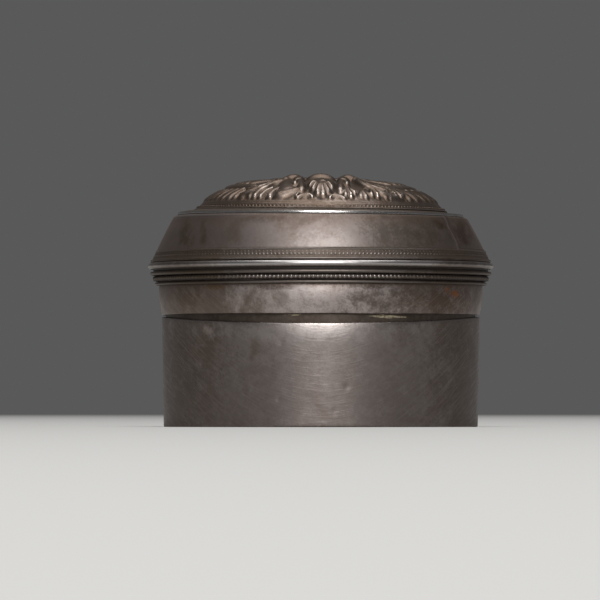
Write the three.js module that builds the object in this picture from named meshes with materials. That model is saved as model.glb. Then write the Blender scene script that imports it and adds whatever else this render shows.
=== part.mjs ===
// Lime container of a betel set: a low round box of sheet silver with a lift-off lid.
// Millimetres, +Z up. The origin is the centre of the underside, and the worn side of
// the rim faces -Y. Every piece is a ring or a disc turned about +Z, soldered to the next.

import * as THREE from "three";

// Steps round a full turn, and round the dome, whose relief needs finer ones.
const ringSteps = 64;
const domeSteps = 96;

// Steps across the rounded edge of a wire, a bend in a sheet, and the dome's crown.
const wireSteps = 4;
const bendSteps = 3;
const crownSteps = 14;

// Space left by each soldered seam.
const seam = 0.05;

// The box: a slightly tapered wall, its floor, and the collar that the lid slides over.
const wallHeight = 22.3;
const wallRimRadius = 32.2;
const wallTaper = 0.4;
const wallSheet = 0.8;
const floorSheet = 0.8;
const collarSheet = 0.6;
const collarDepth = 7.5;
const collarRise = 5.4;

// How far the rim is worn down at the front, and how quickly that dies away to the sides.
const rimDip = 1.6;
const rimDipSharpness = 1.25;

// How the lid sits: above the rim, and round the collar.
const lidRest = 0.3;
const lidPlay = 0.2;

// The lid's skirt, and the wires stacked round the top of it.
const skirtSheet = 0.6;
const skirtHeight = 6.0;
const skirtFlare = 0.6;
const lowerWire = { height: 0.7, reach: 0.85 };
const beadedWire = { height: 1.2, reach: 1.45 };
const middleWire = { height: 0.95, reach: 1.85 };
const edgeRoll = { height: 1.6, reach: 2.25 };

// The sloping shoulder on the roll, and the chased border round its foot.
const shoulderSheet = 0.6;
const shoulderHeight = 9.3;
const shoulderFootInset = 0.75;
const shoulderLean = 4.65;
const shoulderBend = 1.0;
const shoulderLip = 3.2;
const borderSheet = 0.35;
const borderHeight = 2.5;

// The flange on the shoulder, and the fine beaded wire round the foot of the dome.
const flangeSheet = 0.6;
const flangeInset = 0.6;
const flangeWidth = 4.4;
const flangeRise = 0.5;
const flangeHollow = 0.3;
const flangeSeat = 2.2;
const fineWireRadius = 0.33;

// The domed plate: its upright foot, its height, and how tightly it turns into the crown.
const domeSheet = 0.55;
const domeFoot = 0.6;
const domeHeight = 6.15;
const domeRound = 0.85;
const domeRoundPower = 4;
const domeEdgePower = 16;

// The plate's raised forms: height, distance in from the foot, width across and length.
// They stand at the front and at the back, and the curls to both sides of each knob.
const repeats = 2;
const knob = { height: 1.95, inset: 10.6, width: 2.1, length: 2.4 };
const leafCurl = { height: 1.8, inset: 10.4, width: 2.0, length: 2.6, spread: 23 };
const fan = { height: 0.75, inset: 4.6, width: 2.6, length: 3.0 };
const sideLeaf = { height: 0.55, inset: 6.6, width: 15.0, length: 4.6 };
const rosette = { height: 0.45, width: 4.5 };

// The veins of the side leaves, counted round a full turn, and how far each one sweeps.
const veins = { count: 24, height: 0.13, sweep: 9 };
const reliefStart = 0.8;
const reliefFull = 2.6;

// Heights at which one piece ends and the next begins.
const skirtFootZ = wallHeight + lidRest;
const lowerWireZ = skirtFootZ + skirtHeight;
const beadedWireZ = lowerWireZ + lowerWire.height + seam;
const middleWireZ = beadedWireZ + beadedWire.height + seam;
const edgeRollZ = middleWireZ + middleWire.height + seam;
const shoulderFootZ = edgeRollZ + edgeRoll.height + seam;
const shoulderTopZ = shoulderFootZ + shoulderHeight;
const flangeEdgeZ = shoulderTopZ + seam;
const flangeSeatZ = flangeEdgeZ + flangeSheet + flangeRise;
const domeFootZ = flangeSeatZ + seam;

// Radii, each taken from the piece that carries the next.
const wallFootRadius = wallRimRadius - wallTaper;
const collarRadius = wallRimRadius - wallSheet - seam;
const skirtFootRadius = collarRadius + lidPlay + skirtSheet;
const skirtTopRadius = skirtFootRadius + skirtFlare;
const wireBoreRadius = skirtTopRadius + seam;
const shoulderFootRadius = skirtTopRadius + edgeRoll.reach - shoulderFootInset;
const shoulderTopRadius = shoulderFootRadius - shoulderLean;
const flangeRadius = shoulderTopRadius - flangeInset;
const domeRadius = flangeRadius - flangeWidth;

const point = (r, z) => new THREE.Vector2(r, z);

// A closed profile of radius and height, turned about +Z. The first step faces -Y.
function turned(profile, steps = ringSteps) {
  const geometry = new THREE.LatheGeometry([...profile, profile[0].clone()], steps);
  return geometry.rotateX(Math.PI / 2);
}

// The angle of a vertex round +Z, from the front, -Y.
function angleFromFront(x, y) {
  return Math.atan2(x, -y);
}

// Points on an arc, from one angle to another in degrees.
function arc(centre, radius, from, to, steps) {
  return Array.from({ length: steps + 1 }, (_, i) => {
    const a = THREE.MathUtils.degToRad(from + ((to - from) * i) / steps);
    return point(centre.x + radius * Math.cos(a), centre.y + radius * Math.sin(a));
  });
}

// The profile of a sheet: its outer face, and the same line moved inwards by the sheet.
// The two ends are cut level where the sheet stands, and upright where it lies.
function sheetProfile(outer, sheet) {
  const last = outer.length - 1;
  const direction = (i) => outer[i + 1].clone().sub(outer[i]).normalize();
  const inner = outer.map((p, i) => {
    const into = direction(Math.max(i - 1, 0));
    const along = into.clone().add(direction(Math.min(i, last - 1))).normalize();
    if (i > 0 && i < last) {
      const mitre = sheet / along.dot(into);
      return point(p.x - along.y * mitre, p.y + along.x * mitre);
    }
    return Math.abs(along.y) > Math.abs(along.x)
      ? point(p.x - sheet / along.y, p.y)
      : point(p.x, p.y + sheet / along.x);
  });
  return [...outer, ...inner.reverse()];
}

// The wall's inner radius at a height.
function wallInnerRadius(z) {
  return wallFootRadius + (wallTaper * z) / wallHeight - wallSheet;
}

// How far the rim is worn down at an angle from the front.
function dipAt(angle) {
  return rimDip * Math.max(0, Math.cos(angle)) ** rimDipSharpness;
}

// The wall is drawn down evenly from its foot to the worn rim.
function bodyWall() {
  const geometry = turned([
    point(wallFootRadius - wallSheet, 0),
    point(wallFootRadius, 0),
    point(wallRimRadius, wallHeight),
    point(wallRimRadius - wallSheet, wallHeight),
  ]);
  const place = geometry.getAttribute("position");
  for (let i = 0; i < place.count; i++) {
    const share = place.getZ(i) / wallHeight;
    const dip = dipAt(angleFromFront(place.getX(i), place.getY(i)));
    place.setZ(i, place.getZ(i) - share * dip);
  }
  return geometry;
}

function baseDisc() {
  const radius = wallInnerRadius(0) - seam;
  return turned([
    point(0, 0),
    point(radius, 0),
    point(radius, floorSheet),
    point(0, floorSheet),
  ]);
}

// The collar follows the wall below the rim, and stands up straight above it.
function innerCollar() {
  const footZ = wallHeight - collarDepth;
  const outer = [
    point(wallInnerRadius(footZ) - seam, footZ),
    point(collarRadius, wallHeight),
    point(collarRadius, wallHeight + collarRise),
  ];
  return turned(sheetProfile(outer, collarSheet));
}

// The skirt flares from its foot to the lowest wire, and backs all the wires.
function lidSkirt() {
  const outer = [
    point(skirtFootRadius, skirtFootZ),
    point(skirtTopRadius, lowerWireZ),
    point(skirtTopRadius, edgeRollZ + edgeRoll.height),
  ];
  return turned(sheetProfile(outer, skirtSheet));
}

// A wire with a half-round outer edge, lying round the top of the skirt.
function skirtWire(z, { height, reach }) {
  const centre = point(skirtTopRadius + reach - height / 2, z + height / 2);
  return turned([
    point(wireBoreRadius, z),
    ...arc(centre, height / 2, -90, 90, wireSteps),
    point(wireBoreRadius, z + height),
  ]);
}

// The shoulder's outer face, from its foot to the lip that it turns in under the flange.
function shoulderFace() {
  const bend = point(shoulderTopRadius - shoulderBend, shoulderTopZ - shoulderBend);
  const lean = Math.atan2(shoulderLean, bend.y - shoulderFootZ);
  return [
    point(shoulderFootRadius, shoulderFootZ),
    ...arc(bend, shoulderBend, THREE.MathUtils.radToDeg(lean), 90, bendSteps),
    point(shoulderTopRadius - shoulderLip, shoulderTopZ),
  ];
}

function shoulderCone() {
  return turned(sheetProfile(shoulderFace(), shoulderSheet));
}

// A strip with bevelled edges round the foot of the shoulder, just clear of its face.
function shoulderBorder() {
  const [foot, bendStart] = shoulderFace();
  const slope = bendStart.clone().sub(foot).normalize();
  const out = point(slope.y, -slope.x);
  const length = borderHeight / slope.y;
  const bevel = borderSheet / 2;
  const onFace = (along, off) =>
    foot.clone().addScaledVector(slope, along).addScaledVector(out, off + seam);
  return turned([
    onFace(0, 0),
    onFace(0, bevel),
    onFace(bevel, borderSheet),
    onFace(length - bevel, borderSheet),
    onFace(length, bevel),
    onFace(length, 0),
  ]);
}

// The flange rises in a hollow curve from its edge to the seat of the dome.
function topFlange() {
  const edgeZ = flangeEdgeZ + flangeSheet;
  const wireOuterRadius = domeRadius + seam + fineWireRadius * 2;
  const middleRadius = (flangeRadius + wireOuterRadius) / 2;
  const face = [
    point(flangeRadius, edgeZ),
    point(middleRadius, edgeZ + flangeRise * flangeHollow),
    point(wireOuterRadius, flangeSeatZ),
    point(domeRadius - flangeSeat, flangeSeatZ),
  ];
  return turned(sheetProfile(face, flangeSheet));
}

// A fine wire in the corner between the flange and the dome.
function domeWire() {
  const centre = point(domeRadius + seam + fineWireRadius, domeFootZ + fineWireRadius);
  return turned(arc(centre, fineWireRadius, -180, 135, 2 * wireSteps - 1));
}

// How far the plate is raised at a radius and an angle from the front.
function reliefAt(r, angle) {
  const turn = (Math.PI * 2) / repeats;
  const near = Math.abs(angle - turn * Math.round(angle / turn));
  const curlAngle = THREE.MathUtils.degToRad(leafCurl.spread);
  const sweep = THREE.MathUtils.degToRad(veins.sweep) * (domeRadius - r);
  const vein = veins.height * Math.cos(veins.count * near + sweep);
  const mound = (form, aside) => {
    const across = (aside * r) / form.width;
    const along = (r - (domeRadius - form.inset)) / form.length;
    return form.height * Math.exp(-(across ** 2) - along ** 2);
  };
  const side = mound(sideLeaf, turn / 2 - near);
  return (
    mound(knob, near) +
    mound(leafCurl, curlAngle - near) +
    mound(fan, near) +
    side +
    (vein * side) / sideLeaf.height +
    rosette.height * Math.exp(-((r / rosette.width) ** 4))
  );
}

// The dome's plain face: an upright foot, a tight turn and a shallow crown.
function domeFace() {
  const crownDrop = domeHeight - domeFoot;
  const crown = Array.from({ length: crownSteps + 1 }, (_, i) => {
    const share = 1 - i / crownSteps;
    const drop =
      domeRound * share ** domeRoundPower + (1 - domeRound) * share ** domeEdgePower;
    return point(domeRadius * share, domeFootZ + domeHeight - crownDrop * drop);
  });
  return [point(domeRadius, domeFootZ), ...crown];
}

// The plate is raised from behind, so both its faces follow the relief.
function domePlate() {
  const geometry = turned(sheetProfile(domeFace(), domeSheet), domeSteps);
  const place = geometry.getAttribute("position");
  for (let i = 0; i < place.count; i++) {
    const x = place.getX(i);
    const y = place.getY(i);
    const r = Math.hypot(x, y);
    const inside = THREE.MathUtils.smoothstep(domeRadius - r, reliefStart, reliefFull);
    place.setZ(i, place.getZ(i) + inside * reliefAt(r, angleFromFront(x, y)));
  }
  return geometry;
}

const wornSilver = { color: 0x8c8580, roughness: 0.38, metalness: 1 };
const tarnishedSilver = { color: 0x6f655e, roughness: 0.5, metalness: 1 };
const darkSilver = { color: 0x4a423c, roughness: 0.6, metalness: 1 };

function piece(name, geometry, finish) {
  const mesh = new THREE.Mesh(geometry, new THREE.MeshStandardMaterial(finish));
  mesh.name = name;
  return mesh;
}

const box = new THREE.Group();
box.add(
  piece("body_wall", bodyWall(), wornSilver),
  piece("base_disc", baseDisc(), wornSilver),
  piece("inner_collar", innerCollar(), darkSilver),
);

const lid = new THREE.Group();
lid.add(
  piece("lid_skirt", lidSkirt(), wornSilver),
  piece("lower_plain_wire", skirtWire(lowerWireZ, lowerWire), tarnishedSilver),
  piece("lower_beaded_wire", skirtWire(beadedWireZ, beadedWire), tarnishedSilver),
  piece("middle_plain_wire", skirtWire(middleWireZ, middleWire), tarnishedSilver),
  piece("edge_roll", skirtWire(edgeRollZ, edgeRoll), wornSilver),
  piece("shoulder_cone", shoulderCone(), wornSilver),
  piece("shoulder_border", shoulderBorder(), tarnishedSilver),
  piece("top_flange", topFlange(), wornSilver),
  piece("dome_beaded_wire", domeWire(), tarnishedSilver),
  piece("dome_plate", domePlate(), tarnishedSilver),
);

const limeContainer = new THREE.Group();
limeContainer.add(box, lid);

export default limeContainer;
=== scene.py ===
from math import atan2, ceil, cos, hypot, pi, radians, sin, tan, tau

import bmesh
import bpy
import numpy as np
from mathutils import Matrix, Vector


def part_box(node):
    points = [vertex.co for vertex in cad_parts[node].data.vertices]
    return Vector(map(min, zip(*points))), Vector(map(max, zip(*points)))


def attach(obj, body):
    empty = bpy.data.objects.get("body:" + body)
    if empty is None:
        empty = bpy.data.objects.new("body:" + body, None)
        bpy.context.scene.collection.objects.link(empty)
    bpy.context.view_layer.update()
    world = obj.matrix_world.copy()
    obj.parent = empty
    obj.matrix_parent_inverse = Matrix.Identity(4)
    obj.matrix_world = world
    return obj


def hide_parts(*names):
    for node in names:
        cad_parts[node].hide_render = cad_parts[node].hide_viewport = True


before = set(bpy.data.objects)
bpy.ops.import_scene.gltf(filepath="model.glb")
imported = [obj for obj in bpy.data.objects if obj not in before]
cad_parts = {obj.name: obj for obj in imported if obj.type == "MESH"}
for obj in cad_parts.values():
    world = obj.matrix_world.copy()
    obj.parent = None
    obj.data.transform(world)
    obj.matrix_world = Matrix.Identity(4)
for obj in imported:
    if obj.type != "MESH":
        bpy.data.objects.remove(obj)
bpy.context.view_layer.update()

# The setting. A plain pale table, a tall lamp in front and a wide one overhead, seen
# through a long lens that stands on the table.
mm = 0.001
photo_pixels = 600
focal_pixels = 7500
sensor = 36
camera_place = Vector((-4.2, -1520, 3)) * mm
camera_target = Vector((-4.2, 0, 25.7)) * mm
table_radius = 9
table_sides = 128
table_colour = (0.52, 0.515, 0.5)
room_colour = (0.1, 0.1, 0.102)

scene = bpy.context.scene
scene.view_settings.view_transform = "Standard"

room = bpy.data.worlds.new("room")
room.use_nodes = True
room.node_tree.nodes["Background"].inputs["Color"].default_value = (*room_colour, 1)
scene.world = room


def aimed(name, data, place):
    """Links a camera or a lamp at a place, turned towards the box."""
    held = bpy.data.objects.new(name, data)
    held.location = place
    held.rotation_euler = (camera_target - Vector(place)).to_track_quat("-Z", "Y").to_euler()
    scene.collection.objects.link(held)
    return held


def soft_lamp(name, place, width, height, watts):
    lamp = bpy.data.lights.new(name, "AREA")
    lamp.shape = "RECTANGLE"
    lamp.size, lamp.size_y, lamp.energy = width, height, watts
    aimed(name, lamp, place).visible_camera = False


lens = bpy.data.cameras.new("camera")
lens.sensor_width = sensor
lens.lens = sensor * focal_pixels / photo_pixels
lens.clip_start, lens.clip_end = 0.01, 40
scene.camera = aimed("camera", lens, camera_place)
soft_lamp("front_lamp", (0.1, -4.4, 2.5), 1.9, 3.4, 215)
soft_lamp("top_lamp", (0.0, -0.4, 6.0), 4.8, 4.8, 230)


def mesh_object(name, verts, faces):
    mesh = bpy.data.meshes.new(name)
    mesh.from_pydata(verts, [], faces)
    mesh.validate()
    made = bpy.data.objects.new(name, mesh)
    scene.collection.objects.link(made)
    return made


def even_turn(steps):
    return np.linspace(0, tau, steps, endpoint=False)


table_rim = [(table_radius * cos(a), table_radius * sin(a), 0) for a in even_turn(table_sides)]
table = mesh_object("table", table_rim, [list(range(table_sides))])
table_finish = bpy.data.materials.new("pale_table")
table_finish.use_nodes = True
table.data.materials.append(table_finish)
paint = table_finish.node_tree.nodes["Principled BSDF"].inputs
paint["Base Color"].default_value = (*table_colour, 1)
paint["Roughness"].default_value = 0.9
paint["Specular IOR Level"].default_value = 0.0


# The wall of the box. Silver sheet raised into a slightly tapered ring, its rim worn
# down at the front, its face covered in fine scratches and small dents.
class Shade:
    """A socket of a node tree. Arithmetic on it adds Math nodes."""

    def __init__(self, tree, socket):
        self.tree = tree
        self.socket = socket

    def node(self, kind, settings=None, output=0, **inputs):
        """Adds a node, with its settings, and values or links for its sockets."""
        made = self.tree.nodes.new(kind)
        for key, value in (settings or {}).items():
            setattr(made, key, value)
        for key, value in inputs.items():
            index = int(key[1:]) if key[1:].isdigit() else key.replace("_", " ")
            self.feed(made.inputs[index], value)
        return Shade(self.tree, made.outputs[output])

    def feed(self, target, value):
        if isinstance(value, Shade):
            self.tree.links.new(value.socket, target)
        elif isinstance(value, tuple) and len(value) == 3 and target.type == "RGBA":
            target.default_value = (*value, 1)
        else:
            target.default_value = value

    def math(self, operation, *values, kind="ShaderNodeMath"):
        inputs = {f"i{i}": value for i, value in enumerate(values)}
        return self.node(kind, {"operation": operation}, **inputs)

    def vector_math(self, operation, *values):
        return self.math(operation, self, *values, kind="ShaderNodeVectorMath")

    def __add__(self, other):
        return self.math("ADD", self, other)

    def __sub__(self, other):
        return self.math("SUBTRACT", self, other)

    def __rsub__(self, other):
        return self.math("SUBTRACT", other, self)

    def __mul__(self, other):
        return self.math("MULTIPLY", self, other)

    __radd__ = __add__

    def most(self, other):
        return self.math("MAXIMUM", self, other)

    def between(self, low, high, start=0.0, end=1.0):
        """Start below low, end above high, and smooth between them."""
        settings = {"interpolation_type": "SMOOTHSTEP"}
        kept = {"From_Min": low, "From_Max": high, "To_Min": start, "To_Max": end}
        return self.node("ShaderNodeMapRange", settings, Value=self, **kept)

    def scaled(self, x, y, z):
        return self.vector_math("MULTIPLY", (x, y, z))

    def plus(self, other):
        return self.vector_math("ADD", other)

    def cloud(self, scale, detail=3, rough=0.5, warp=0.0):
        """Noise at a scale per mm. Detail adds finer clouds, and rough makes them stronger."""
        kept = {"Vector": self, "Scale": scale, "Detail": detail, "Roughness": rough}
        return self.node("ShaderNodeTexNoise", Distortion=warp, **kept)

    def part(self, axis):
        return self.node("ShaderNodeSeparateXYZ", output="XYZ".index(axis), i0=self)

    def tint(self, low, high):
        """A colour from low, where this is 0, to high, where it is 1."""
        return self.node("ShaderNodeMix", {"data_type": "RGBA"}, 2, i0=self, i6=low, i7=high)


def new_finish(name):
    """A material, and the place on the piece in millimetres."""
    finish = bpy.data.materials.new(name)
    finish.use_nodes = True
    start = Shade(finish.node_tree, None)
    return finish, start.node("ShaderNodeTexCoord", output=3).scaled(1 / mm, 1 / mm, 1 / mm)


def laid_dirt_and_light(place):
    """The attribute: dirt and painted shade above 0, and metal rubbed bright with a painted highlight below
    it.
    """
    return place.node("ShaderNodeAttribute", {"attribute_name": "grime"}, output=2)


def coat(finish, place, colour, rough, metal, relief):
    """Feeds a finish to its shader, with a relief in mm that shows as bumps."""
    bumps = place.node("ShaderNodeBump", Strength=1.0, Distance=mm, Height=relief)
    given = {"Base Color": colour, "Roughness": rough, "Metallic": metal, "Normal": bumps}
    for key, value in given.items():
        place.feed(finish.node_tree.nodes["Principled BSDF"].inputs[key], value)


def hairlines(round_place, bow, tilt, fine, length):
    """Fine lines of rubbing, which run round the wall and bow down at the front, in the arcs that painted
    glints make round a highlight.
    """
    x = round_place.part("X")
    height = round_place.part("Z") - x * x * bow + x * tilt
    across, away = x * (1 / length), round_place.part("Y") * (1 / length)
    return x.node("ShaderNodeCombineXYZ", X=across, Y=away, Z=height * fine).cloud(1, 2)


def stained_and_lit(colour, place, stains_and_light):
    """Adds stains, painted highlights and painted shade at the front: place, size, colour in thousandths,
    and strength.
    """
    patchy = place.cloud(0.45, 5, 0.6) * 0.6 + place.cloud(2.1, 4, 0.6) * 0.4
    front = place.part("Y").between(-4, -8)
    for x, z, width, height, shade, strength in stains_and_light:
        off_x = (place.part("X") - x) * (1 / width)
        off_z = (place.part("Z") - z) * (1 / height)
        spot = (patchy - (off_x * off_x + off_z * off_z) * 0.16).between(0.3, 0.56)
        colour = (spot * front * strength).tint(colour, tuple(c / 1000 for c in shade))
    return colour


wrap_radius = 32
front_reach = 33
sharp_degrees = 40


def aged_silver(
    name, bright, brown, tarnish=0.5, rubbed=1.0, smooth=0.4,
    stains_and_light=(), pitted=0.0, drift=(0, 0, 0), behind=0.2, rubbed_and_highlight_colour=(0.5, 0.45, 0.43),
):
    """Silver, rubbed bright and given a painted highlight where it stands out, and brown elsewhere."""
    finish, place = new_finish(name)
    cloudy = place.plus(drift)
    round_place = place.scaled(1, 1, 0).vector_math("NORMALIZE")
    round_place = round_place.scaled(wrap_radius, wrap_radius, 0).plus(place.scaled(0, 0, 1))
    broad = cloudy.cloud(0.06, 4, 0.6, warp=0.5)
    blotch = cloudy.plus((31, 7, 3)).cloud(0.24, 6, 0.62)
    brown_film = cloudy.plus((5, 40, 9)).cloud(0.1, 6, 0.65, warp=0.7)
    mottle = cloudy.plus((2, 9, 60)).cloud(1.2, 5, 0.7)
    grain = place.cloud(5.5, 3, 0.6)
    unhandled = 1 - (place.part("Y") * (-1 / front_reach)).between(0.5, 0.97)
    laid = laid_dirt_and_light(place)
    hollow = laid * (place.cloud(2.4, 4, 0.65) * 1.1 + 0.45)
    deep = hollow.between(0.45, 0.9)
    rubbed_and_highlit = (laid * -1).between(0.12, 0.65)
    cover = (broad * 0.35 + blotch * 0.4 + mottle * 0.25).between(0.38, 0.64)
    film = (brown_film + unhandled * behind + (mottle - 0.5) * 0.3 - 0.04).between(0.44, 0.68)
    pits = place.plus((8, 3, 1)).cloud(2.6, 4, 0.75).between(0.57, 0.66) * pitted
    scratches_and_glints = hairlines(round_place, 0.022, 0.0, 3.4, 6).between(0.46, 0.74)
    scratches_and_glints = scratches_and_glints.most(hairlines(round_place, 0.01, 0.18, 3.1, 7).between(0.55, 0.74) * 0.6)
    scratches_and_glints = scratches_and_glints.most(hairlines(round_place, 0.012, -0.22, 2.9, 8).between(0.57, 0.74) * 0.5)
    scratches_and_glints = scratches_and_glints * (1 - deep) * rubbed
    dusk = tuple(0.58 * b + 0.42 * d for b, d in zip(bright, brown))
    colour = (cover * 0.9 * tarnish + 0.1 + (grain - 0.5) * 0.6).tint(bright, dusk)
    colour = (film * tarnish).tint(colour, brown)
    colour = stained_and_lit(colour, place, stains_and_light)
    # The scratches are tinted brighter, as painted glints.
    colour = (scratches_and_glints * 0.22).tint(colour, tuple(1.4 * b for b in bright))
    colour = (pits * 0.5).tint(colour, brown)
    # High spots and rubbed edges go bright: rubbed, and also a painted highlight.
    colour = (rubbed_and_highlit * 0.8).tint(colour, rubbed_and_highlight_colour)
    # Hollows go brown and the deepest places near black and less metallic: dark patina on the dome, and dirt
    # and painted shade in the seams, under the wires and under the flange.
    colour = (hollow.between(0.1, 0.6) * 0.75).tint(colour, brown)
    colour = (deep * 0.9).tint(colour, (0.022, 0.014, 0.01))
    rough = smooth + cover * 0.1 * tarnish + (grain - 0.5) * 0.12 + hollow * 0.15 - scratches_and_glints * 0.05
    relief = blotch * 0.06 + mottle * 0.012 + grain * 0.008 + scratches_and_glints * 0.006 - pits * 0.012
    coat(finish, place, colour, rough + film * 0.05 - rubbed_and_highlit * 0.1, 1 - deep * 0.6, relief)
    return finish


def rounded(corners, longest, steps=5):
    """An outline from corners of radius, height and fillet, cut into short sides."""
    outline = []
    for i, (x, z, fillet) in enumerate(corners):
        here = Vector((x, z))
        before = Vector(corners[i - 1][:2]) - here
        after = Vector(corners[(i + 1) % len(corners)][:2]) - here
        if fillet == 0:
            outline.append(tuple(here))
            continue
        half = before.angle(after) / 2
        run = min(fillet / tan(half), 0.49 * before.length, 0.49 * after.length)
        start = here + before.normalized() * run
        end = here + after.normalized() * run
        for k in range(steps + 1):
            t = k / steps
            outline.append(tuple(start * (1 - t) ** 2 + here * 2 * t * (1 - t) + end * t**2))
    points = []
    for (x, z), (next_x, next_z) in zip(outline, outline[1:] + outline[:1]):
        count = max(1, ceil(hypot(next_x - x, next_z - z) / longest))
        points += [(x + (next_x - x) * k / count, z + (next_z - z) * k / count) for k in range(count)]
    return points


def lay_dirt_and_light(mesh, dirt_and_light):
    # Dirt, painted shade and painted highlights are kept in one attribute.
    store = mesh.attributes.get("grime") or mesh.attributes.new("grime", "FLOAT", "POINT")
    store.data.foreach_set("value", np.asarray(dirt_and_light, np.float32).ravel())


def smooth_mesh(name, verts, faces, dirt_and_light):
    """A smooth object from places in mm, with the dirt and painted light on each of them."""
    made = mesh_object(name, (verts * mm).tolist(), faces)
    made.data.polygons.foreach_set("use_smooth", [True] * len(made.data.polygons))
    lay_dirt_and_light(made.data, dirt_and_light)
    return made


def turned(name, outline, turn, warp=None, grime=None):
    """A closed outline turned about +Z from the front, bent by warp in mm."""
    outline = np.array(outline)
    turn = even_turn(turn) if isinstance(turn, int) else turn
    angle, r = np.meshgrid(turn, outline[:, 0], indexing="ij")
    z = np.broadcast_to(outline[:, 1], r.shape)
    dirt_and_light = np.zeros(r.shape) if grime is None else grime(r, z, angle)
    if warp:
        r, z = warp(r, z, angle)
    verts = np.stack([r * np.sin(angle), -r * np.cos(angle), z], -1).reshape(-1, 3)
    at = np.arange(r.size).reshape(r.shape)
    corners = [at, np.roll(at, -1, 0), np.roll(at, (-1, -1), (0, 1)), np.roll(at, -1, 1)]
    made = smooth_mesh(name, verts, np.stack(corners, -1).reshape(-1, 4).tolist(), dirt_and_light)
    cleaned = bmesh.new()
    cleaned.from_mesh(made.data)
    bmesh.ops.remove_doubles(cleaned, verts=cleaned.verts, dist=1e-7)
    cleaned.to_mesh(made.data)
    cleaned.free()
    made.data.set_sharp_from_angle(angle=radians(sharp_degrees))
    return made


def unit(values):
    return np.clip(values, 0, 1)


def bell(off, width):
    """1 at no distance, and a soft fall to 0 beyond the width."""
    return np.exp(-((off / width) ** 2))


def ring_waves(angle, seed, size, most=9):
    """A slow unevenness round a ring, the same on every run."""
    random = np.random.default_rng(seed)
    total = np.zeros_like(angle)
    for k in range(2, most):
        total = total + random.normal() / k * np.cos(k * angle + random.uniform(0, tau))
    return size * total


def dress(piece, finish, body, slot, *nodes):
    """Gives a piece its finish, the body it rides on and the CAD nodes it stands for."""
    piece.data.materials.clear()
    piece.data.materials.append(finish)
    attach(piece, body)
    if nodes:
        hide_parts(*nodes)


def node_ring(node):
    """A ring's foot height, top height and outer radius, in mm."""
    low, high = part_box(node)
    return low.z / mm, high.z / mm, high.x / mm


wall_foot, wall_top, wall_radius = node_ring("body_wall")
wall_taper = 0.4
wall_sheet = 0.8
wall_middle = wall_radius - wall_taper - wall_sheet / 2
rim_dip = 1.6
dip_sharpness = 1.25
rim_lean = 0.26
lean_height = 3.4
# Stains and painted light: the wide pale band across the front under the rim is a painted highlight, the
# darker low band and the two darker sides are painted shade, and the rest are stains and marks.
wall_stains_and_light = [
    (-13.3, 15.9, 1.2, 3.2, (115, 80, 45), 0.65), (-15, 8.4, 1.2, 2.2, (115, 80, 45), 0.5),
    (-22.8, 19.2, 1.3, 1, (400, 340, 310), 0.7), (-21.5, 15, 5, 5, (105, 76, 54), 0.5),
    (-24, 8, 5, 7, (105, 78, 58), 0.42), (-0.5, 12.4, 0.35, 3.2, (130, 85, 65), 0.35),
    (30, 11, 9, 18, (82, 64, 52), 0.62), (-31.5, 11, 7, 18, (82, 62, 48), 0.62),
    (0, 4.5, 40, 14, (155, 128, 118), 0.6), (-1, 19.8, 24, 3.4, (420, 380, 365), 0.45),
]
wall_dents = [
    (-0.25, 17.9, 0.5, 0.1), (-0.27, 5.8, 0.45, 0.09), (0.16, 8.4, 0.5, 0.1), (0.08, 3.2, 0.4, 0.08),
    (0.76, 9.7, 0.5, 0.1), (-0.9, 12, 2.2, 0.07), (2.1, 7, 1.6, 0.12), (-2.4, 14, 1.8, 0.1),
    (3, 10, 1.2, 0.12),
]


def bend_wall(r, z, angle):
    """The rim dips, leans in and is worn at the front, and the wall has dents."""
    share = (z - wall_foot) / (wall_top - wall_foot)
    front = np.maximum(0, np.cos(angle))
    dip = rim_dip * front**dip_sharpness
    worn = ring_waves(angle, 5, 0.05, 24)
    near_rim = unit(1 - (wall_top - z) / lean_height) ** 2
    r = r - np.where(r > wall_middle, rim_lean * front**5 * near_rim, 0)
    r = r + ring_waves(angle, 3, 0.05) * (0.4 + 0.6 * share)
    for place_angle, place_z, width, depth in wall_dents:
        across = (angle - place_angle + pi) % tau - pi
        away = ((across * wall_radius) ** 2 + (z - place_z) ** 2) / width**2
        r = r - depth * np.exp(-away)
    return r, z - share**2 * (dip + worn) - (share - share**2) * dip * 0.6


def wall_dirt_and_light(r, z, angle):
    """Dirt lies inside and thinly along the foot, and the rim is rubbed bright, with a painted highlight."""
    outside = 0.42 * np.exp(-(z - wall_foot) / 0.5) - 0.5 * bell(wall_top - z, 0.35)
    return np.where(r < wall_middle, 0.62, outside)


wall_outline = [
    (wall_radius - wall_taper - wall_sheet, wall_foot, 0.1), (wall_radius - wall_taper, wall_foot, 0.3),
    (wall_radius, wall_top, 0.3), (wall_radius - wall_sheet, wall_top, 0.2),
]
body_wall = turned("body_wall_silver", rounded(wall_outline, 0.55), 640, bend_wall, wall_dirt_and_light)
worn_silver = aged_silver(
    "worn_silver", (0.24, 0.209, 0.196), (0.1, 0.072, 0.054), tarnish=0.6, stains_and_light=wall_stains_and_light
)
dress(body_wall, worn_silver, "container", "worn_silver", "body_wall")


# The floor of the box. A disc of silver sheet let in at the foot of the wall and
# soldered there, so a thin line shows where it meets the wall from below.
floor_foot, floor_top, floor_radius = node_ring("base_disc")
floor_middle = (floor_foot + floor_top) / 2
floor_hollow = 0.12


def bend_floor(r, z, angle):
    hollow = floor_hollow * np.cos(r / floor_radius * pi / 2)
    return r, z + np.where(z < floor_middle, hollow, hollow * 0.8)


def floor_grime(r, z, angle):
    return np.where(z > floor_middle, 0.55, 0.5 * np.exp(-(floor_radius - r) / 0.35))


floor_outline = [
    (0, floor_foot, 0), (floor_radius, floor_foot, 0.15), (floor_radius, floor_top, 0.1), (0, floor_top, 0),
]
base_disc = turned("base_disc_silver", rounded(floor_outline, 1.2), 256, bend_floor, floor_grime)
dress(base_disc, worn_silver, "container", "worn_silver", "base_disc")


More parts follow.
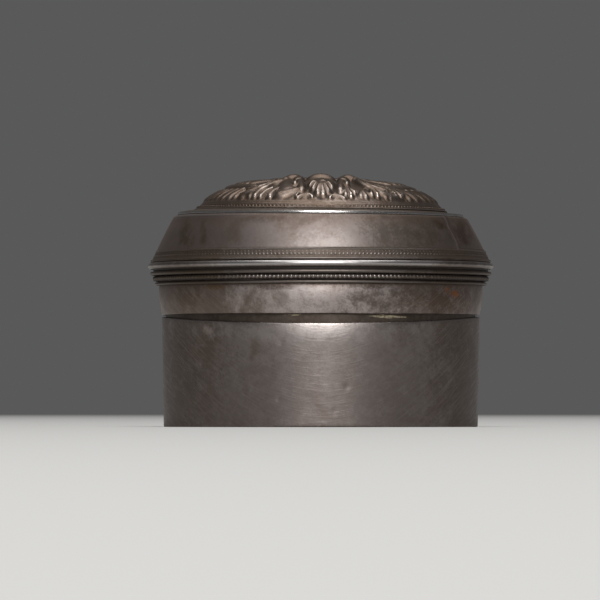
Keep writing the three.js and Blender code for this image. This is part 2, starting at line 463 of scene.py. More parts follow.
# The collar that holds the lid. A ring of thinner sheet, as the lid's rings are too,
# soldered inside the wall and standing above it, never polished and dark brown, and
# darker still with painted shade from the lid over it.
collar_foot, collar_top, collar_radius = node_ring("inner_collar")
sheet = 0.6
collar_inset = 0.135

collar_outline = [
    (collar_radius - collar_inset - sheet, collar_foot, 0.1),
    (collar_radius - collar_inset, collar_foot, 0.1), (collar_radius, wall_top, 0),
    (collar_radius, collar_top, 0.25), (collar_radius - sheet, collar_top, 0.2),
    (collar_radius - sheet, wall_top, 0),
]


def bend_collar(r, z, angle):
    return r + ring_waves(angle, 9, 0.015), z


inner_collar = turned("inner_collar_silver", rounded(collar_outline, 0.8), 320, bend_collar)
dark_silver, place = new_finish("dark_silver")
broad = place.cloud(0.16, 5, 0.65)
blotch = place.cloud(1.1, 5, 0.7)
grain = place.cloud(6)
chalk = (broad * 0.6 + blotch * 0.4).between(0.62, 0.74)
colour = (broad * 0.5 + blotch * 0.5).between(0.35, 0.65)
# Dark brown, made darker as painted shade under the lid.
colour = colour.tint((0.05, 0.036, 0.027), (0.088, 0.07, 0.058))
colour = (chalk * 0.6).tint(colour, (0.36, 0.32, 0.23))
rough = 0.5 + chalk * 0.35 + (grain - 0.5) * 0.2
coat(dark_silver, place, colour, rough, 0.85 - chalk * 0.8, blotch * 0.05 + grain * 0.02 + chalk * 0.06)
dress(inner_collar, dark_silver, "container", "dark_silver", "inner_collar")


# The dried lime. Thin crusts on the collar, where a finger wiped it, and on the floor
# of the box, lumpy, and ragged at the edges.
lime_patches = [
    (0.43, 22, 0.19, 0.62, 0.1), (-0.17, 22.3, 0.11, 0.45, 0.06), (1.9, 23.6, 0.3, 1.3, 0.14),
    (-2.3, 24.4, 0.45, 1.1, 0.14), (3, 22.9, 0.22, 0.9, 0.12),
]
crust_steps = 96
crust_sunk = 0.02

dried_lime, place = new_finish("dried_lime")
crust = place.cloud(1.9, 6, 0.75)
crumb = place.cloud(7)
pale = (crust + laid_dirt_and_light(place) * 0.35).between(0.55, 0.95)
colour = pale.tint((0.085, 0.066, 0.046), (0.38, 0.325, 0.22))
coat(dried_lime, place, colour, 0.85 + (crumb - 0.5) * 0.2, 0.0, crust * 0.12 + crumb * 0.04)


def zipped(name, rings):
    """A skin over rings of different counts, from pole to pole."""
    faces, b = [], 0
    for ring, next_ring in zip(rings, rings[1:]):
        n, m = len(ring), len(next_ring)
        a, b = b, b + n
        i = j = 0
        while i < n or j < m:
            if j < m and (i == n or (j + 1) * n <= (i + 1) * m):
                if m > 1:
                    faces.append((a + i % n, b + j, b + (j + 1) % m))
                j += 1
            else:
                if n > 1:
                    faces.append((a + i, b + j % m, a + (i + 1) % n))
                i += 1
    every = np.concatenate(rings)
    return smooth_mesh(name, every[:, :3], faces, every[:, 3])


def crust_rings(surface, thick, seed):
    """A closed crust: out over it from its middle to a ragged edge, and back beneath."""
    random = np.random.default_rng(seed)
    turn = even_turn(crust_steps)
    edge = np.full(crust_steps, 0.72)
    for k in range(2, 16):
        edge = edge + 0.24 / k * np.cos(k * turn + random.uniform(0, tau))
    edge = np.clip(edge, 0.3, 0.97)
    rings = []
    upper = [(share, True) for share in (0, *np.linspace(0.08, 1, 16))]
    for share, on_top in (*upper, (1, False), (0.5, False), (0, False)):
        count = 1 if share == 0 else crust_steps
        across, along = (share * edge * np.sin(turn))[:count], (-share * edge * np.cos(turn))[:count]
        lumps = 0.75 + 0.25 * np.sin(across * 9 + seed) * np.sin(along * 7 + 2 * seed)
        swell = (1 - share**3) * lumps * on_top
        off = swell * thick - crust_sunk if on_top else np.full(count, -0.1)
        rings.append(np.stack([*surface(across, along, off), swell], -1))
    return rings


for k, (turn_to, height, spread, tall, thick) in enumerate(lime_patches):

    def on_collar(across, along, off):
        r, angle = collar_radius - crust_sunk + off, turn_to + across * spread
        return r * np.sin(angle), -r * np.cos(angle), height + along * tall

    crust = zipped(f"lime_crust_{k + 1}", crust_rings(on_collar, thick, k))
    dress(crust, dried_lime, "container", "dried_lime")


def on_floor(across, along, off):
    x, y = 2 + across * 27, 1.5 + along * 26
    return x, y, bend_floor(np.hypot(x, y), np.full_like(x, floor_top), 0)[1] + off


floor_crust = zipped("lime_crust_floor", crust_rings(on_floor, 0.5, 7))
dress(floor_crust, dried_lime, "container", "dried_lime")


# The skirt of the lid. A flaring band of sheet whose foot hangs just above the rim,
# and whose upper part backs the wires. Rust has stained it at the right.
skirt_foot, skirt_top, skirt_radius = node_ring("lid_skirt")
wire_foot = node_ring("lower_plain_wire")[0]
skirt_flare = 0.6
skirt_belly = 0.22

skirt_outline = [
    (skirt_radius - skirt_flare - sheet, skirt_foot, 0.15),
    (skirt_radius - skirt_flare, skirt_foot, 0.28), (skirt_radius, wire_foot, 0),
    (skirt_radius, skirt_top, 0.05), (skirt_radius - sheet, skirt_top, 0.05),
    (skirt_radius - sheet, wire_foot, 0),
]


def bend_skirt(r, z, angle):
    free = unit((wire_foot - z) / (wire_foot - skirt_foot))
    belly = skirt_belly * np.sin(free * pi)
    return r + belly + free * np.abs(ring_waves(angle, 12, 0.03)), z + free * ring_waves(angle, 14, 0.05, 18)


def skirt_grime(r, z, angle):
    under_wire = np.exp(-np.abs(wire_foot - z) / 0.6)
    inside = r < skirt_radius - skirt_flare - sheet / 2 + (z - skirt_foot) * 0.1
    return np.where(inside, 0.6, 0.8 * under_wire)


lid_skirt = turned("lid_skirt_silver", rounded(skirt_outline, 0.5), 560, bend_skirt, skirt_grime)
# Stains and painted light: the pale spot left of the middle is a painted highlight, and the broad darker
# patch at the right is painted shade; the rest are stains and rust.
skirt_stains_and_light = [
    (21, 26.2, 19.5, 11, (115, 90, 78), 0.85), (-2.8, 25.4, 5.5, 3.6, (620, 550, 530), 0.45),
    (-27.5, 25.6, 14, 9, (140, 108, 90), 0.65), (27, 25.5, 6.5, 4, (85, 52, 37), 0.72),
    (18.5, 25.6, 6, 2.4, (120, 83, 64), 0.45), (25.1, 27.5, 0.7, 0.8, (260, 88, 22), 0.85),
    (26.7, 26.7, 1, 0.9, (260, 88, 22), 0.9), (-21.5, 27.9, 2.4, 0.8, (150, 88, 34), 0.75),
    (-27.5, 26, 4.5, 3.4, (100, 65, 43), 0.6), (-9.5, 27.9, 4.5, 0.7, (70, 48, 38), 0.7),
    (-7.5, 25.6, 1.2, 1.4, (120, 95, 83), 0.45), (7.5, 27.9, 5, 0.5, (70, 48, 38), 0.6),
]
skirt_silver = aged_silver(
    "skirt_silver", (0.45, 0.39, 0.368), (0.12, 0.082, 0.062), 0.75, 0.4, 0.36, skirt_stains_and_light,
    1.0, (0, 0, 23), 0.5,
)
dress(lid_skirt, skirt_silver, "lid", "worn_silver", "lid_skirt")


# The wires round the top of the skirt. Drawn silver wire soldered on in a stack, one
# of them stamped with beads, each dark where it meets the next.
# The trim is browner at the sides, partly tarnish and partly painted shade.
trim_stains_and_shade = [(-25, 30.5, 9, 5, (85, 64, 40), 0.75), (24, 30.5, 9, 5, (70, 52, 40), 0.75)]
trim_silver = aged_silver(
    "trim_silver", (0.165, 0.141, 0.128), (0.085, 0.062, 0.047), 0.7, 0, 0.44, trim_stains_and_shade,
    behind=0.35, rubbed_and_highlight_colour=(0.36, 0.32, 0.3),
)
# The roll too is browner at the sides, partly tarnish and partly painted shade.
roll_stains_and_shade = [(-30, 32.3, 6, 4, (140, 112, 96), 0.8), (29, 32.3, 6, 4, (120, 98, 86), 0.8)]
roll_silver = aged_silver(
    "roll_silver", (0.47, 0.45, 0.44), (0.17, 0.13, 0.105), 0.5, 0.4, 0.3, roll_stains_and_shade, behind=0.35
)
set_back = 0.35


def half_round(foot, top, radius, bore, flat=0.0, below=0.0, above=0.0):
    """A wire's outline: square behind, rounded in front, set back below and above."""
    height = top - foot - below - above
    middle = foot + below + height / 2
    reach = height / 2
    inner = radius - reach - set_back
    turn = [radians(a) for a in np.linspace(-90, 90, 15)]
    front = [(radius - reach + reach * cos(a), middle + (reach - flat) * sin(a)) for a in turn]
    under = [(inner, foot), (inner, foot + below)] if below else []
    over = [(inner, top - above), (inner, top)] if above else []
    return [(bore, foot), *under, *front, *over, (bore, top)]


def wire_dirt_and_shade(bore_darkening, radius, depth, middle=0.0, under=0.0):
    """Dirt and painted shade in the seams, full at depth behind the wire's edge, and some painted shade on
    its underside.
    """
    def dirt_and_light(r, z, angle):
        seam = unit((radius - r) / depth) ** 1.5 * bore_darkening
        return np.maximum(seam, under * unit((middle - z) / 0.3))
    return dirt_and_light


def bend_wire(seed):
    def bend(r, z, angle):
        return r - np.abs(ring_waves(angle, seed, 0.02)), z + ring_waves(angle, seed + 1, 0.015)
    return bend


wire_bore = skirt_radius + 0.05
wires = [
    ("lower_plain_wire", trim_silver, "tarnished_silver", 21, 0.0, 0.1),
    ("middle_plain_wire", trim_silver, "tarnished_silver", 23, 0.0, 0.2),
    ("edge_roll", roll_silver, "worn_silver", 25, 0.25, 0.0),
]
for node, finish, slot, seed, below, above in wires:
    foot, top, radius = node_ring(node)
    seam_darkening = wire_dirt_and_shade(
        1.0, radius, (top - foot - below - above) * 0.46, (foot + below + top - above) / 2 - 0.1, 0.6
    )
    outline = half_round(foot, top, radius, wire_bore, 0.0, below, above)
    dress(turned(f"{node}_silver", outline, 480, bend_wire(seed), seam_darkening), finish, "lid", slot, node)


# The beaded wire between them. Its backing is a plain strip, and its beads lie side
# by side all the way round, a little uneven as stamped beads are.
def bead_sizes(count, radius, height, size, lean, worn, seed):
    """The beads' inputs, from sizes in mm. Size is a bead's thickness, tallness and length.
    Worn is how far to the side its wear begins and ends, and the size that is left."""
    keys = ("Radius", "Height", "Thickness", "Tallness", "Length", "Fresh to", "Worn from")
    lengths = zip(keys, (radius, height, *size, *worn[:2]))
    others = {"Count": count, "Lean": lean, "Worn size": worn[2], "Seed": seed}
    return {key: value * mm for key, value in lengths} | others


def bead_tree(name, sizes, finish):
    """Beads instanced round a circle, joined to the strip that carries them."""
    tree = bpy.data.node_groups.new(name, "GeometryNodeTree")
    tree.interface.new_socket("Strip", in_out="INPUT", socket_type="NodeSocketGeometry")
    for key, value in sizes.items():
        kind = "NodeSocketInt" if isinstance(value, int) else "NodeSocketFloat"
        tree.interface.new_socket(key, in_out="INPUT", socket_type=kind)
    tree.interface.new_socket("Ring", in_out="OUTPUT", socket_type="NodeSocketGeometry")
    given = {socket.name: Shade(tree, socket) for socket in tree.nodes.new("NodeGroupInput").outputs}
    result = tree.nodes.new("NodeGroupOutput").inputs["Ring"]
    add = given["Strip"].node

    def vector(**parts):
        return add("ShaderNodeCombineXYZ", **parts)

    raised = vector(Z=given["Height"])
    circle = add("GeometryNodeCurvePrimitiveCircle", Resolution=given["Count"], Radius=given["Radius"])
    lifted = add("GeometryNodeTransform", Geometry=circle, Translation=raised)
    points = add("GeometryNodeCurveToPoints", {"mode": "EVALUATED"}, Curve=lifted)
    turns = Shade(tree, points.socket.node.outputs["Rotation"])
    ball = add("GeometryNodeMeshUVSphere", Segments=10, Rings=6, Radius=1.0)
    stretch = vector(X=given["Thickness"], Y=given["Tallness"], Z=given["Length"])
    shaped = add("GeometryNodeTransform", Geometry=ball, Scale=stretch)
    beads = add("GeometryNodeInstanceOnPoints", Points=points, Instance=shaped, Rotation=turns)
    leaned = add("GeometryNodeRotateInstances", Instances=beads, Rotation=vector(X=given["Lean"]))
    x = add("GeometryNodeInputPosition").part("X")
    rubbed = x.math("ABSOLUTE", x).between(given["Fresh to"], given["Worn from"], 1.0, given["Worn size"])
    settings = {"data_type": "FLOAT_VECTOR"}
    least, most = (0.88, 0.88, 0.9), (1.06, 1.08, 1.06)
    uneven = add("FunctionNodeRandomValue", settings, Min=least, Max=most, Seed=given["Seed"])
    size = uneven.vector_math("MULTIPLY", vector(X=rubbed, Y=1.0, Z=1.0))
    sized = add("GeometryNodeScaleInstances", Instances=leaned, Scale=size)
    real = add("GeometryNodeRealizeInstances", Geometry=sized)
    joined = add("GeometryNodeJoinGeometry", Geometry=add("GeometryNodeSetShadeSmooth", Geometry=real))
    joined.feed(joined.socket.node.inputs["Geometry"], given["Strip"])
    joined.feed(result, add("GeometryNodeSetMaterial", Geometry=joined, Material=finish))
    return tree


def add_beads(strip, sizes, finish, grime, tilt=0.0):
    """Puts beads on a strip, as one plain mesh with dirt and painted light between them, and tilts it."""
    beading = strip.modifiers.new("beads", "NODES")
    beading.node_group = bead_tree(f"{strip.name}_beads", sizes, finish)
    for socket in beading.node_group.interface.items_tree:
        if socket.name in sizes:
            beading[socket.identifier] = sizes[socket.name]
    scene.view_layers[0].update()
    seen = strip.evaluated_get(bpy.context.evaluated_depsgraph_get())
    plain = bpy.data.meshes.new_from_object(seen)
    strip.modifiers.remove(beading)
    strip.data = plain
    place = np.empty(len(plain.vertices) * 3, np.float32)
    plain.vertices.foreach_get("co", place)
    x, y, z = place.reshape(-1, 3).T / mm
    lay_dirt_and_light(plain, grime(np.hypot(x, y), z, np.arctan2(x, -y)))
    place[2::3] -= tilt * place[::3]
    plain.vertices.foreach_set("co", place)


bead_foot, bead_top, bead_radius = node_ring("lower_beaded_wire")
bead_pitch = 0.88
bead_middle = (bead_foot + bead_top) / 2
bead_line = bead_radius - 0.4


def bead_dirt_and_light(r, z, angle):
    """Dirt and painted shade round the beads, which are rubbed bright, with a painted highlight, where they
    stand out furthest.
    """
    worn = 0.5 * unit((r - bead_radius + 0.22) / 0.15)
    return np.where(worn > 0, -worn, wire_dirt_and_shade(1.0, bead_radius, 0.34, bead_middle, 0.4)(r, z, angle))


bead_outline = half_round(bead_foot, bead_top, bead_radius - 0.2, wire_bore, 0.04)
bead_strip = turned("lower_beaded_wire_silver", bead_outline, 480)
bead_count = round(tau * bead_line / bead_pitch)
beading = bead_sizes(bead_count, bead_line, bead_middle, (0.44, 0.46, 0.43), 0.0, (7, 18, 0.62), 4)
add_beads(bead_strip, beading, trim_silver, bead_dirt_and_light)
dress(bead_strip, trim_silver, "lid", "tarnished_silver", "lower_beaded_wire")


# The sloping shoulder. One plain band of sheet bent to a cone and closed by an upright
# solder seam at the right of the front, its top edge turned in under the flange.
cone_foot, cone_top, cone_radius = node_ring("shoulder_cone")
flange_foot, flange_top, flange_radius = node_ring("top_flange")
cone_lean = 4.65
cone_lip = 3.2
cone_mouth = cone_radius - cone_lean
seam_angle = radians(56)
seam_width = 0.3
cone_swell = 0.16
lid_tip = 0.0095

cone_outline = [
    (cone_radius - sheet * 1.12, cone_foot, 0), (cone_radius, cone_foot, 0.1),
    (cone_mouth, cone_top, 0.9), (cone_mouth - cone_lip, cone_top, 0.1),
    (cone_mouth - cone_lip, cone_top - sheet, 0.1), (cone_mouth - 0.9, cone_top - sheet, 0.5),
]


def tipped(r, z, angle):
    """The lid's top sits a little askew: lower at the right of the front."""
    return z - lid_tip * r * np.sin(angle)


def off_seam(r, z, angle):
    return (angle - seam_angle) * r + 0.18 * np.sin(z * 1.3) + 0.05 * np.sin(z * 2.7)


def bend_cone(r, z, angle):
    off = off_seam(r, z, angle)
    ridge = 0.13 * bell(off, seam_width)
    ditch = 0.07 * bell(off - 0.85, 0.5)
    share = unit((z - cone_foot) / (cone_top - cone_foot))
    face = np.sin(share * pi)
    leaned = z + (tipped(r, z, angle) - z) * share
    return r + face * (cone_swell + ridge - ditch + ring_waves(angle, 31, 0.06)), leaned


def cone_dirt_and_light(r, z, angle):
    off = off_seam(r, z, angle)
    beside_seam = np.minimum(np.abs(off - 0.95) - 0.25, np.abs(off + 0.5) + 0.1)
    seam_darkening = 0.9 * bell(np.maximum(beside_seam, 0), 0.25)
    # The seam's ridge is rubbed bright and lit by a painted highlight.
    bright_seam = -0.5 * bell(off, 0.24)
    inside = r < cone_radius - sheet - (z - cone_foot) * 0.56 - 0.3
    # Just beneath the flange the cone gets a painted shadow.
    beneath = bell(np.clip(r - flange_radius + 0.15, -1, 0), 0.3)
    painted_flange_shadow = 0.85 * beneath * (z > cone_top - 0.1) * (r < flange_radius - 0.15)
    # A painted highlight along the top corner, on the left only.
    painted_corner_highlight = bell(cone_top - 0.28 - z, 0.3) * unit(-0.6 - 2 * np.sin(angle))
    rubbed = np.minimum(bright_seam, -0.45 * painted_corner_highlight * (r > flange_radius - 0.1))
    # The face is darker towards the top.
    darker_to_top = 0.38 * unit((z - cone_top + 4.0) / 3.0)
    face = np.where(seam_darkening > 0.3, seam_darkening, np.where(rubbed < -0.1, rubbed, darker_to_top))
    return np.where(inside, 0.55, np.where(painted_flange_shadow > 0.1, painted_flange_shadow, face))


cone_turn = np.union1d(even_turn(480), seam_angle + np.linspace(-0.06, 0.06, 49))
cone_skin = rounded(cone_outline, 0.55, 8)
shoulder_cone = turned("shoulder_cone_silver", cone_skin, cone_turn, bend_cone, cone_dirt_and_light)
# Stains and painted light: the pale patch low in the middle is a painted highlight, and the two broad darker
# patches at the right are painted shade; the rest are stains.
cone_stains_and_light = [
    (-27, 38.5, 1.6, 4, (85, 58, 32), 0.6), (-23.5, 38.8, 0.8, 3, (85, 58, 32), 0.6),
    (1.5, 36.8, 7.5, 2.6, (340, 305, 285), 0.55), (-17.5, 39, 3, 3, (115, 84, 60), 0.4),
    (24, 38.5, 14, 10, (105, 84, 70), 0.45), (13.6, 38.6, 7.5, 9, (100, 80, 65), 0.65),
    (21.5, 38.8, 3.2, 3, (100, 78, 56), 0.5), (-11, 41.4, 6, 0.8, (75, 57, 47), 0.5),
    (24, 40.6, 1.6, 1.4, (60, 34, 22), 0.8), (28.5, 39, 2.4, 3.4, (70, 40, 26), 0.75),
]
cone_silver = aged_silver(
    "cone_silver", (0.235, 0.199, 0.185), (0.115, 0.08, 0.06), 0.5, 0.2, 0.47, cone_stains_and_light,
    0.0, (0, 0, 41), 0.4,
)
dress(shoulder_cone, cone_silver, "lid", "worn_silver", "shoulder_cone")


# The chased border round the foot of the shoulder. A thin strip with a ridge along
# each edge, and between them a row of small beads under a row of slanting ticks.
border_foot, border_top = node_ring("shoulder_border")[:2]
border_slope = atan2(cone_lean, cone_top - cone_foot)
rope_pitch = 0.81


def on_border(along, off):
    """A point on the cone's face: so far up it from the foot, so far out from it."""
    x = cone_radius - along * sin(border_slope) + off * cos(border_slope)
    return x, cone_foot + along * cos(border_slope) + off * sin(border_slope)


border_length = (border_top - border_foot) / cos(border_slope) - 0.05
border_profile = [
    (0, -0.05), (0, 0.22), (0.08, 0.34), (0.22, 0.39), (0.36, 0.34), (0.46, 0.2), (0.56, 0.13),
    (1.2, 0.15), (1.9, 0.14), (2.12, 0.15), (2.22, 0.24), (2.34, 0.3), (2.46, 0.24), (2.56, 0.13),
    (2.66, 0.1), (border_length - 0.08, 0.13), (border_length, 0.06), (border_length, -0.05),
]


def border_dirt_and_light(r, z, angle):
    along = (z - cone_foot) / cos(border_slope)
    off = (r - cone_radius + along * sin(border_slope)) / cos(border_slope)
    ground = 0.75 * unit((0.34 - off) / 0.22) ** 1.3
    # The beads are rubbed bright, with a painted highlight.
    bead = (off > 0.2) & (np.abs(along - 1.45) < 0.7)
    return np.where(bead, -0.3, ground)


border_points = [on_border(along, off) for along, off in border_profile]
border_strip = turned("shoulder_border_silver", border_points, 480)
dot_place, tick_place = on_border(1.18, 0.12), on_border(1.76, 0.1)
dot_count = round(tau * dot_place[0] / rope_pitch)
beads = (dot_place, (0.14, 0.28, 0.34), 0.35, 8), (tick_place, (0.075, 0.3, 0.13), 0.6, 9)
for place, size, lean, seed in beads:
    beading = bead_sizes(dot_count, *place, size, lean, (6, 22, 0.35), seed)
    add_beads(border_strip, beading, trim_silver, border_dirt_and_light)
dress(border_strip, trim_silver, "lid", "tarnished_silver", "shoulder_border")


# The flange. A flat ring with a bright rubbed edge, which also carries a painted
# highlight, soldered over the top of the shoulder. It has been knocked, so it stands a
# little higher on the left.
dome_foot, _, dome_radius = node_ring("dome_plate")
flange_slant = 0.1
flange_seat = 2.2
flange_lift = 0.35
swell_radius = 26.8
swell_width = 1.1
seat_radius = node_ring("dome_beaded_wire")[2]
flange_face = flange_foot + sheet
flange_edge = flange_radius - flange_slant

flange_outline = [
    (flange_radius, flange_foot, 0.12), (flange_edge, flange_face, 0.28),
    (seat_radius + 0.9, flange_face, 0.2), (seat_radius + 0.15, flange_top, 0.2),
    (dome_radius - flange_seat, flange_top, 0.1), (dome_radius - flange_seat, flange_top - sheet, 0.1),
    (seat_radius, flange_top - sheet, 0.6),
]


def bend_flange(r, z, angle):
    upper = z > flange_foot + sheet * 0.5 + (flange_radius - r) * 0.1
    left = unit(-np.sin(angle)) ** 2
    swell = bell(r - swell_radius, swell_width)
    lift = np.where(upper, flange_lift * left * swell, 0)
    return r + ring_waves(angle, 41, 0.04), tipped(r, z, angle) + lift + ring_waves(angle, 43, 0.015)


def flange_dirt_and_light(r, z, angle):
    """The top face is brown, the edge rubbed bright with a painted highlight, and the underside black with
    painted shade.
    """
    upper = z > flange_face - 0.13
    top_face = np.maximum(0.62 * unit((flange_edge - 0.02 - r) / 0.2), 0.3 * upper)
    # The edge is rubbed bright and given a painted highlight.
    edge = np.where(r > flange_edge - 0.12, -0.6, 0)
    # The underside is painted black as shade.
    under = (z < flange_foot + 0.1) | (r < flange_edge - 0.5) & (z < flange_foot + 0.3)
    return np.where(under, 0.95, np.where(top_face > 0, top_face, edge))


top_flange = turned("top_flange_silver", rounded(flange_outline, 0.4), 480, bend_flange, flange_dirt_and_light)
flange_silver = aged_silver(
    "flange_silver", (0.28, 0.25, 0.23), (0.115, 0.088, 0.07), 0.6, 0.4, 0.42,
    behind=0.3, rubbed_and_highlight_colour=(0.5, 0.49, 0.485),
)
dress(top_flange, flange_silver, "lid", "worn_silver", "top_flange")


# The fine beaded wire in the corner where the dome meets the flange, a little worn at
# the sides and as warm in colour as the dome.
chased_silver = aged_silver(
    "chased_silver", (0.235, 0.19, 0.165), (0.095, 0.065, 0.045), 0.7, 0, 0.39,
    rubbed_and_highlight_colour=(0.56, 0.49, 0.44),
)
fine_foot, fine_top, fine_radius = node_ring("dome_beaded_wire")
fine_pitch = 0.8
fine_size = (fine_top - fine_foot) / 2
fine_line = fine_radius - fine_size
fine_share = 0.6
fine_half = fine_size * fine_share
fine_arc = [
    (fine_line + fine_half * cos(a), fine_foot + fine_size * (1 + fine_share * sin(a)))
    for a in np.linspace(0, pi, 9)
]
fine_outline = [(fine_radius + 0.35, fine_foot), *fine_arc, (fine_line - fine_half, fine_foot)]
fine_strip = turned("dome_beaded_wire_silver", fine_outline, 360)
fine_count = round(tau * fine_line / fine_pitch)
fine_middle = (fine_foot + fine_top) / 2
beading = bead_sizes(fine_count, fine_line, fine_middle, (0.33, 0.33, 0.4), 0.0, (8, 20, 0.8), 15)
add_beads(fine_strip, beading, chased_silver, wire_dirt_and_shade(0.4, fine_radius + 0.2, 0.8), lid_tip)
dress(fine_strip, chased_silver, "lid", "tarnished_silver", "dome_beaded_wire")


# The domed plate. Silver sheet raised from behind and chased from in front: a fluted
# knob at the front and at the back, a scroll on each side of it, and curled leaves.
dome_rim = 0.6
dome_crown = 6.15
dome_round = 0.85
dome_sheet = 0.55
relief_pitch = 0.07
relief_back = 4.0
relief_reach = dome_radius + 0.6
across = np.arange(-relief_reach, relief_reach + relief_pitch, relief_pitch)
outward = np.arange(-relief_back, relief_reach + relief_pitch, relief_pitch)
raised = np.zeros((len(outward), len(across)))
chased = np.zeros_like(raised)


def smooth_path(chosen, samples=14):
    """Points on a smooth curve through a few chosen ones."""
    p = np.array([chosen[0], *chosen, chosen[-1]], float)
    path = []
    for a, b, c, d in zip(p, p[1:], p[2:], p[3:]):
        for t in np.linspace(0, 1, samples, endpoint=False):
            bend = (2 * a - 5 * b + 4 * c - d) * t**2 + (3 * b - a - 3 * c + d) * t**3
            path.append((2 * b + (c - a) * t + bend) / 2)
    return np.array([*path, p[-1]])


def patch(points, reach):
    """The part of the plate that lies within reach of some points."""
    low, high = np.min(points, 0) - reach, np.max(points, 0) + reach
    rows = slice(*np.searchsorted(outward, (low[1], high[1])))
    columns = slice(*np.searchsorted(across, (low[0], high[0])))
    return (rows, columns), *np.meshgrid(across[columns], outward[rows])


def lay(where, form, outline):
    """Raises a form over what is there, with a chased line round it."""
    line = 0.15 * bell(np.maximum(outline, 0), 0.24)
    chased[where] = np.maximum(chased[where], np.where(form > 0.02, 0, line))
    raised[where] = np.maximum(raised[where], form)


def boss(centre, width, length, height, power=0.7):
    """An oval bump."""
    where, u, v = patch([centre], max(width, length) + 0.6)
    d = np.hypot((u - centre[0]) / width, (v - centre[1]) / length)
    lay(where, height * unit(1 - d * d) ** power, (d - 1) * min(width, length))


def follow(chosen, reach):
    """How far each place near a curve is off it, and how far along it, from 0 to 1."""
    path = smooth_path(chosen)
    where, u, v = patch(path, reach)
    steps = np.linalg.norm(np.diff(path, axis=0), axis=1)
    walked = np.concatenate([[0], np.cumsum(steps)]) / steps.sum()
    off = np.full(u.shape, 1e9)
    share = np.zeros_like(u)
    for k, length in enumerate(steps):
        if length < 1e-6:
            continue
        du, dv = (path[k + 1] - path[k]) / length
        from_u, from_v = u - path[k][0], v - path[k][1]
        run = np.clip(from_u * du + from_v * dv, 0, length)
        away = np.hypot(from_u - run * du, from_v - run * dv)
        closer = away < off
        off = np.where(closer, away, off)
        share = np.where(closer, walked[k] + run / length * (walked[k + 1] - walked[k]), share)
    return where, off, share


def finger(chosen, start, end, height, full=0.6, groove=0.0):
    """A rounded rib along a curve, from one half width to another."""
    where, off, share = follow(chosen, max(start, end) + 0.6)
    wide = start + (end - start) * share
    body = unit(1 - (off / wide) ** 2) ** full
    swell = 0.5 + 0.5 * wide / max(start, end)
    cut = groove * bell(off, 0.16) * unit(1.2 - share)
    lay(where, np.maximum(height * body * swell - cut * body, 0), off - wide)


def score(chosen, width, depth):
    """A line cut into what is raised, faint where it starts."""
    where, off, share = follow(chosen, 3 * width)
    raised[where] -= depth * bell(off, width) * unit(0.2 + 4 * share)


def flute(chosen, start, end, height):
    """A rib added on top of what is raised already, faint where it starts."""
    where, off, share = follow(chosen, end + 0.2)
    wide = start + (end - start) * share
    raised[where] += height * unit(1 - (off / wide) ** 2) ** 0.7 * unit(3 * share)


def polar(r, degrees):
    """A place on the plate by its radius and its angle from the front."""
    return r * sin(radians(degrees)), r * cos(radians(degrees))


def spoke(places, *form, **more):
    """A finger through places given by radius and angle."""
    finger([polar(*place) for place in places], *form, **more)


# The knob: a bud with a roll and a bar across it, and flutes that fan out over its foot.
boss((0.15, 18.9), 2.95, 4.25, 1.25, 0.45)
boss((0, 13.6), 3.1, 1.5, 1.5, 0.7)
boss((0.4, 19.1), 1.5, 0.55, 1.5, 0.6)
boss((0.2, 20.7), 0.9, 0.45, 1.38, 0.6)
score([(-2.7, 17.6), (-1.2, 16.8), (1.4, 16.8), (2.9, 17.6)], 0.42, 0.34)
flutes = (
    (-2.55, 20.5, 0.42), (-1.85, 21.7, 0.48), (-0.8, 22.5, 0.52),
    (0.45, 22.8, 0.68), (1.65, 22.3, 0.56), (2.5, 21.1, 0.44),
)
for aside, foot, wide in flutes:
    top = (0.28 * aside, 20.4 - 0.3 * abs(aside))
    flute([top, (0.65 * aside, foot - 1), (aside, foot)], 0.24, wide, 0.42)
bud_outline = [
    (-3, 17.2), (-3.05, 19.6), (-2.5, 21.8), (-0.8, 23.1),
    (1.1, 23.3), (2.7, 22.1), (3.15, 19.8), (3.1, 17.2),
]
score(bud_outline, 0.17, 0.2)

for side in (-1, 1):

    def beside(*places):
        return [(side * u, v) for u, v in places]

    # A curl beside the knob: a roll over its top, a smooth lobe under it, and an eye.
    finger(beside((7, 14.6), (5.6, 13.2), (4, 14.6)), 1.1, 1, 1.2)
    boss((side * 5.5, 13.7), 2.3, 1.4, 1.45, 0.6)
    finger(beside((4.5, 15), (4.2, 17.8), (4.05, 21)), 1.2, 0.95, 1.1)
    boss((side * 5.3, 18.9), 0.8, 1.15, 1.35, 0.6)
    score(beside((6, 19.9), (6, 18.4), (5.2, 16.7), (3.6, 16.4)), 0.26, 0.45)

    # The pointed leaf tip between the curl and the knob, along the edge.
    arch = beside((4.7, 23.1), (3.95, 22.75), (3.1, 22.6), (2.35, 22.6), (1.75, 23.2))
    finger(arch, 0.4, 0.36, 0.48, 0.8)
    finger(beside((3, 22.7), (3.3, 23.5)), 0.6, 0.8, 0.36)

    # The leaf round the side: a long rib, and the lobes that run down to it.
    spoke([(18.6, side * a) for a in (47, 58, 70, 82, 93)], 1, 1.1, 0.34, groove=0.1)
    for k in range(4):
        degrees = side * (55 + 8.5 * k)
        places = (11.2, degrees - side * 9), (14, degrees - side * 5), (16.6, degrees)
        spoke(places, 0.4, 1.1, 0.42, groove=0.16)
    spoke([(r, side * 90) for r in (11.6, 14, 16.8)], 0.4, 1.1, 0.42, groove=0.16)

    # Leaves between the curl and the flower in the middle.
    finger(beside((7.6, 12.6), (9.4, 13.4), (11.6, 13)), 0.95, 0.5, 0.5, groove=0.16)
    finger(beside((2.6, 10.8), (4.2, 11.4), (6.8, 11.2)), 0.5, 0.95, 0.5, groove=0.12)

